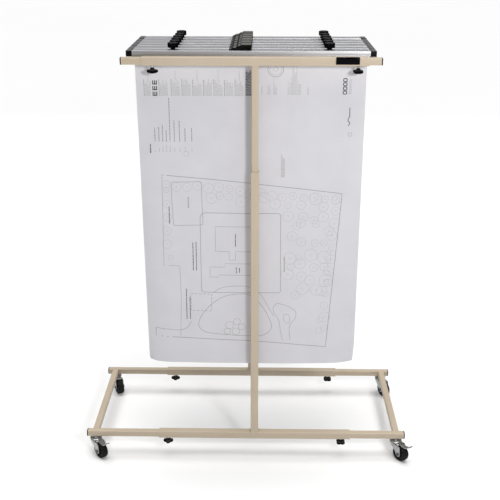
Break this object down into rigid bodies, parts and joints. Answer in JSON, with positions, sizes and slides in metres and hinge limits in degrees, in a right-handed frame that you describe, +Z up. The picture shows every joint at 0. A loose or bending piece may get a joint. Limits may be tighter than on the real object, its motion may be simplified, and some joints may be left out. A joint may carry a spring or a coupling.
{
  "type": "mobile plan stand",
  "caption": "Wheeled stand of telescoping square tube that hangs large drawing sheets from aluminium clamps with tightening knobs, one sheet hung in front.",
  "frame": {"origin": "middle of the footprint box, on the floor under the casters", "axes": "+Z up, +X to the right seen from the front, -Y towards the front, where the sheet hangs"},
  "size_m": [0.986, 0.4567, 1.239],
  "materials": {
    "powder_paint": "beige powder coat, semi-matt, with a fine texture",
    "aluminium": "satin anodised extrusion with die lines along its length",
    "black_plastic": "moulded, fine grain",
    "label_plastic": "blank glossy plate",
    "zinc_plate": "bright zinc-plated pressed steel",
    "wheel_rubber": "black moulded tyre on a black hub",
    "bar_steel": "drawn flat bar",
    "paper": "uncoated plan-printer bond with fine grey print"
  },
  "bodies": {
    "base": {"base_front_tee": "powder_paint", "base_rear_tee": "powder_paint"},
    "base_left": {"base_left_frame": "powder_paint"},
    "base_right": {"base_right_frame": "powder_paint"},
    "top": {"top_front_tee": "powder_paint", "top_rear_tee": "powder_paint", "label_plate": "label_plastic"},
    "top_left": {"top_left_frame": "powder_paint"},
    "top_right": {"top_right_frame": "powder_paint"},
    "base_front_left_lock_knob": {"base_front_left_lock_knob": "black_plastic"},
    "base_front_right_lock_knob": {"base_front_right_lock_knob": "black_plastic"},
    "base_rear_left_lock_knob": {"base_rear_left_lock_knob": "black_plastic"},
    "base_rear_right_lock_knob": {"base_rear_right_lock_knob": "black_plastic"},
    "top_front_left_lock_knob": {"top_front_left_lock_knob": "black_plastic"},
    "top_front_right_lock_knob": {"top_front_right_lock_knob": "black_plastic"},
    "top_rear_left_lock_knob": {"top_rear_left_lock_knob": "black_plastic"},
    "top_rear_right_lock_knob": {"top_rear_right_lock_knob": "black_plastic"},
    "front_post_lock_screw": {"front_post_lock_screw": "zinc_plate"},
    "rear_post_lock_screw": {"rear_post_lock_screw": "zinc_plate"},
    "front_left_caster": {"front_left_caster_fork": "zinc_plate"},
    "front_left_wheel": {"front_left_caster_wheel": "wheel_rubber"},
    "front_left_brake": {"front_left_brake_lever": "zinc_plate"},
    "front_right_caster": {"front_right_caster_fork": "zinc_plate"},
    "front_right_wheel": {"front_right_caster_wheel": "wheel_rubber"},
    "front_right_brake": {"front_right_brake_lever": "zinc_plate"},
    "rear_left_caster": {"rear_left_caster_fork": "zinc_plate"},
    "rear_left_wheel": {"rear_left_caster_wheel": "wheel_rubber"},
    "rear_right_caster": {"rear_right_caster_fork": "zinc_plate"},
    "rear_right_wheel": {"rear_right_caster_wheel": "wheel_rubber"},
    "clamp_1": {"clamp_1_channel": "aluminium", "clamp_1_hanger": "black_plastic", "plan_sheet": "paper"},
    "clamp_1_left_knob": {"clamp_1_left_knob": "black_plastic"},
    "clamp_1_right_knob": {"clamp_1_right_knob": "black_plastic"},
    "clamp_1_press_bar": {"clamp_1_press_bar": "bar_steel"},
    "clamp_2": {"clamp_2_channel": "aluminium", "clamp_2_hanger": "black_plastic"},
    "clamp_2_left_knob": {"clamp_2_left_knob": "black_plastic"},
    "clamp_2_right_knob": {"clamp_2_right_knob": "black_plastic"},
    "clamp_2_press_bar": {"clamp_2_press_bar": "bar_steel"},
    "clamp_3": {"clamp_3_channel": "aluminium", "clamp_3_hanger": "black_plastic"},
    "clamp_3_left_knob": {"clamp_3_left_knob": "black_plastic"},
    "clamp_3_right_knob": {"clamp_3_right_knob": "black_plastic"},
    "clamp_3_press_bar": {"clamp_3_press_bar": "bar_steel"},
    "clamp_4": {"clamp_4_channel": "aluminium", "clamp_4_hanger": "black_plastic"},
    "clamp_4_left_knob": {"clamp_4_left_knob": "black_plastic"},
    "clamp_4_right_knob": {"clamp_4_right_knob": "black_plastic"},
    "clamp_4_press_bar": {"clamp_4_press_bar": "bar_steel"},
    "clamp_5": {"clamp_5_channel": "aluminium", "clamp_5_hanger": "black_plastic"},
    "clamp_5_left_knob": {"clamp_5_left_knob": "black_plastic"},
    "clamp_5_right_knob": {"clamp_5_right_knob": "black_plastic"},
    "clamp_5_press_bar": {"clamp_5_press_bar": "bar_steel"},
    "clamp_6": {"clamp_6_channel": "aluminium", "clamp_6_hanger": "black_plastic"},
    "clamp_6_left_knob": {"clamp_6_left_knob": "black_plastic"},
    "clamp_6_right_knob": {"clamp_6_right_knob": "black_plastic"},
    "clamp_6_press_bar": {"clamp_6_press_bar": "bar_steel"}
  },
  "joints": [
    {"name": "top_height", "type": "slide", "parent": "base", "child": "top", "axis": [0, 0, 1], "range_m": [-0.2, 0.3]},
    {"name": "base_left_width", "type": "slide", "parent": "base", "child": "base_left", "axis": [-1, 0, 0], "range_m": [-0.08, 0.115]},
    {"name": "base_right_width", "type": "slide", "parent": "base", "child": "base_right", "axis": [1, 0, 0], "range_m": [-0.08, 0.15]},
    {"name": "top_left_width", "type": "slide", "parent": "top", "child": "top_left", "axis": [-1, 0, 0], "range_m": [0, 0.16]},
    {"name": "top_right_width", "type": "slide", "parent": "top", "child": "top_right", "axis": [1, 0, 0], "range_m": [0, 0.16]},
    {"name": "base_front_left_lock_knob_turn", "type": "hinge", "parent": "base", "child": "base_front_left_lock_knob", "pos_m": [-0.24603, -0.17891, 0.0653], "axis": [0, 0, -1], "range_deg": [0, 1080]},
    {"name": "base_front_right_lock_knob_turn", "type": "hinge", "parent": "base", "child": "base_front_right_lock_knob", "pos_m": [0.27997, -0.17891, 0.0653], "axis": [0, 0, -1], "range_deg": [0, 1080]},
    {"name": "base_rear_left_lock_knob_turn", "type": "hinge", "parent": "base", "child": "base_rear_left_lock_knob", "pos_m": [-0.26103, 0.20709, 0.0653], "axis": [0, 0, -1], "range_deg": [0, 1080]},
    {"name": "base_rear_right_lock_knob_turn", "type": "hinge", "parent": "base", "child": "base_rear_right_lock_knob", "pos_m": [0.26497, 0.20709, 0.0653], "axis": [0, 0, -1], "range_deg": [0, 1080]},
    {"name": "top_front_left_lock_knob_turn", "type": "hinge", "parent": "top", "child": "top_front_left_lock_knob", "pos_m": [-0.25003, -0.17891, 1.1863], "axis": [0, 0, -1], "range_deg": [0, 1080]},
    {"name": "top_front_right_lock_knob_turn", "type": "hinge", "parent": "top", "child": "top_front_right_lock_knob", "pos_m": [0.28397, -0.17891, 1.1863], "axis": [0, 0, -1], "range_deg": [0, 1080]},
    {"name": "top_rear_left_lock_knob_turn", "type": "hinge", "parent": "top", "child": "top_rear_left_lock_knob", "pos_m": [-0.26503, 0.20709, 1.1863], "axis": [0, 0, -1], "range_deg": [0, 1080]},
    {"name": "top_rear_right_lock_knob_turn", "type": "hinge", "parent": "top", "child": "top_rear_right_lock_knob", "pos_m": [0.26897, 0.20709, 1.1863], "axis": [0, 0, -1], "range_deg": [0, 1080]},
    {"name": "front_post_lock_screw_turn", "type": "hinge", "parent": "base", "child": "front_post_lock_screw", "pos_m": [0.01697, -0.16771, 0.8805], "axis": [0, 1, 0], "range_deg": [0, 1080]},
    {"name": "rear_post_lock_screw_turn", "type": "hinge", "parent": "base", "child": "rear_post_lock_screw", "pos_m": [0.00197, 0.19589, 0.8805], "axis": [0, -1, 0], "range_deg": [0, 1080]},
    {"name": "front_left_caster_swivel", "type": "hinge", "parent": "base_left", "child": "front_left_caster", "pos_m": [-0.46723, -0.17891, 0.0673], "axis": [0, 0, 1], "continuous": true},
    {"name": "front_left_wheel_roll", "type": "hinge", "parent": "front_left_caster", "child": "front_left_wheel", "pos_m": [-0.45125, -0.19546, 0.025], "axis": [0.7193, 0.6947, 0], "continuous": true},
    {"name": "front_left_brake_press", "type": "hinge", "parent": "front_left_caster", "child": "front_left_brake", "pos_m": [-0.45264, -0.19402, 0.053], "axis": [0.7193, 0.6947, 0], "range_deg": [0, 10]},
    {"name": "front_right_caster_swivel", "type": "hinge", "parent": "base_right", "child": "front_right_caster", "pos_m": [0.44717, -0.17891, 0.0673], "axis": [0, 0, 1], "continuous": true},
    {"name": "front_right_wheel_roll", "type": "hinge", "parent": "front_right_caster", "child": "front_right_wheel", "pos_m": [0.46196, -0.19653, 0.025], "axis": [0.766, 0.6428, 0], "continuous": true},
    {"name": "front_right_brake_press", "type": "hinge", "parent": "front_right_caster", "child": "front_right_brake", "pos_m": [0.46067, -0.195, 0.053], "axis": [0.766, 0.6428, 0], "range_deg": [0, 10]},
    {"name": "rear_left_caster_swivel", "type": "hinge", "parent": "base_left", "child": "rear_left_caster", "pos_m": [-0.46723, 0.20709, 0.0673], "axis": [0, 0, 1], "continuous": true},
    {"name": "rear_left_wheel_roll", "type": "hinge", "parent": "rear_left_caster", "child": "rear_left_wheel", "pos_m": [-0.45573, 0.18717, 0.025], "axis": [0.866, 0.5, 0], "continuous": true},
    {"name": "rear_right_caster_swivel", "type": "hinge", "parent": "base_right", "child": "rear_right_caster", "pos_m": [0.44717, 0.20709, 0.0673], "axis": [0, 0, 1], "continuous": true},
    {"name": "rear_right_wheel_roll", "type": "hinge", "parent": "rear_right_caster", "child": "rear_right_wheel", "pos_m": [0.45797, 0.18678, 0.025], "axis": [0.8829, 0.4695, 0], "continuous": true},
    {"name": "clamp_1_lift", "type": "slide", "parent": "top", "child": "clamp_1", "axis": [0, 0, 1], "range_m": [0, 0.06]},
    {"name": "clamp_1_left_knob_turn", "type": "hinge", "parent": "clamp_1", "child": "clamp_1_left_knob", "pos_m": [-0.19903, -0.13691, 1.2215], "axis": [0, 0, 1], "range_deg": [0, 1080]},
    {"name": "clamp_1_right_knob_turn", "type": "hinge", "parent": "clamp_1", "child": "clamp_1_right_knob", "pos_m": [0.21097, -0.13691, 1.2215], "axis": [0, 0, 1], "range_deg": [0, 1080]},
    {"name": "clamp_1_press_bar_slide", "type": "slide", "parent": "clamp_1", "child": "clamp_1_press_bar", "axis": [0, 0.3387, -0.9409], "range_m": [0, 0.00255]},
    {"name": "clamp_2_lift", "type": "slide", "parent": "top", "child": "clamp_2", "axis": [0, 0, 1], "range_m": [0, 0.06]},
    {"name": "clamp_2_left_knob_turn", "type": "hinge", "parent": "clamp_2", "child": "clamp_2_left_knob", "pos_m": [-0.19903, -0.08891, 1.2215], "axis": [0, 0, 1], "range_deg": [0, 1080]},
    {"name": "clamp_2_right_knob_turn", "type": "hinge", "parent": "clamp_2", "child": "clamp_2_right_knob", "pos_m": [0.21097, -0.08891, 1.2215], "axis": [0, 0, 1], "range_deg": [0, 1080]},
    {"name": "clamp_2_press_bar_slide", "type": "slide", "parent": "clamp_2", "child": "clamp_2_press_bar", "axis": [0, 0.3387, -0.9409], "range_m": [0, 0.00255]},
    {"name": "clamp_3_lift", "type": "slide", "parent": "top", "child": "clamp_3", "axis": [0, 0, 1], "range_m": [0, 0.06]},
    {"name": "clamp_3_left_knob_turn", "type": "hinge", "parent": "clamp_3", "child": "clamp_3_left_knob", "pos_m": [-0.19903, -0.03891, 1.2215], "axis": [0, 0, 1], "range_deg": [0, 1080]},
    {"name": "clamp_3_right_knob_turn", "type": "hinge", "parent": "clamp_3", "child": "clamp_3_right_knob", "pos_m": [0.21097, -0.03891, 1.2215], "axis": [0, 0, 1], "range_deg": [0, 1080]},
    {"name": "clamp_3_press_bar_slide", "type": "slide", "parent": "clamp_3", "child": "clamp_3_press_bar", "axis": [0, 0.3387, -0.9409], "range_m": [0, 0.00255]},
    {"name": "clamp_4_lift", "type": "slide", "parent": "top", "child": "clamp_4", "axis": [0, 0, 1], "range_m": [0, 0.06]},
    {"name": "clamp_4_left_knob_turn", "type": "hinge", "parent": "clamp_4", "child": "clamp_4_left_knob", "pos_m": [-0.19903, 0.01009, 1.2215], "axis": [0, 0, 1], "range_deg": [0, 1080]},
    {"name": "clamp_4_right_knob_turn", "type": "hinge", "parent": "clamp_4", "child": "clamp_4_right_knob", "pos_m": [0.21097, 0.01009, 1.2215], "axis": [0, 0, 1], "range_deg": [0, 1080]},
    {"name": "clamp_4_press_bar_slide", "type": "slide", "parent": "clamp_4", "child": "clamp_4_press_bar", "axis": [0, 0.3387, -0.9409], "range_m": [0, 0.00255]},
    {"name": "clamp_5_lift", "type": "slide", "parent": "top", "child": "clamp_5", "axis": [0, 0, 1], "range_m": [0, 0.06]},
    {"name": "clamp_5_left_knob_turn", "type": "hinge", "parent": "clamp_5", "child": "clamp_5_left_knob", "pos_m": [-0.19903, 0.05809, 1.2215], "axis": [0, 0, 1], "range_deg": [0, 1080]},
    {"name": "clamp_5_right_knob_turn", "type": "hinge", "parent": "clamp_5", "child": "clamp_5_right_knob", "pos_m": [0.21097, 0.05809, 1.2215], "axis": [0, 0, 1], "range_deg": [0, 1080]},
    {"name": "clamp_5_press_bar_slide", "type": "slide", "parent": "clamp_5", "child": "clamp_5_press_bar", "axis": [0, 0.3387, -0.9409], "range_m": [0, 0.00255]},
    {"name": "clamp_6_lift", "type": "slide", "parent": "top", "child": "clamp_6", "axis": [0, 0, 1], "range_m": [0, 0.06]},
    {"name": "clamp_6_left_knob_turn", "type": "hinge", "parent": "clamp_6", "child": "clamp_6_left_knob", "pos_m": [-0.19903, 0.11609, 1.2215], "axis": [0, 0, 1], "range_deg": [0, 1080]},
    {"name": "clamp_6_right_knob_turn", "type": "hinge", "parent": "clamp_6", "child": "clamp_6_right_knob", "pos_m": [0.21097, 0.11609, 1.2215], "axis": [0, 0, 1], "range_deg": [0, 1080]},
    {"name": "clamp_6_press_bar_slide", "type": "slide", "parent": "clamp_6", "child": "clamp_6_press_bar", "axis": [0, 0.3387, -0.9409], "range_m": [0, 0.00255]}
  ],
  "couplings": [
    {"joint": "clamp_1_left_knob_turn", "follows": "clamp_1_press_bar_slide", "rad_per_m": 7389.7},
    {"joint": "clamp_1_right_knob_turn", "follows": "clamp_1_press_bar_slide", "rad_per_m": 7389.7},
    {"joint": "clamp_2_left_knob_turn", "follows": "clamp_2_press_bar_slide", "rad_per_m": 7389.7},
    {"joint": "clamp_2_right_knob_turn", "follows": "clamp_2_press_bar_slide", "rad_per_m": 7389.7},
    {"joint": "clamp_3_left_knob_turn", "follows": "clamp_3_press_bar_slide", "rad_per_m": 7389.7},
    {"joint": "clamp_3_right_knob_turn", "follows": "clamp_3_press_bar_slide", "rad_per_m": 7389.7},
    {"joint": "clamp_4_left_knob_turn", "follows": "clamp_4_press_bar_slide", "rad_per_m": 7389.7},
    {"joint": "clamp_4_right_knob_turn", "follows": "clamp_4_press_bar_slide", "rad_per_m": 7389.7},
    {"joint": "clamp_5_left_knob_turn", "follows": "clamp_5_press_bar_slide", "rad_per_m": 7389.7},
    {"joint": "clamp_5_right_knob_turn", "follows": "clamp_5_press_bar_slide", "rad_per_m": 7389.7},
    {"joint": "clamp_6_left_knob_turn", "follows": "clamp_6_press_bar_slide", "rad_per_m": 7389.7},
    {"joint": "clamp_6_right_knob_turn", "follows": "clamp_6_press_bar_slide", "rad_per_m": 7389.7}
  ]
}
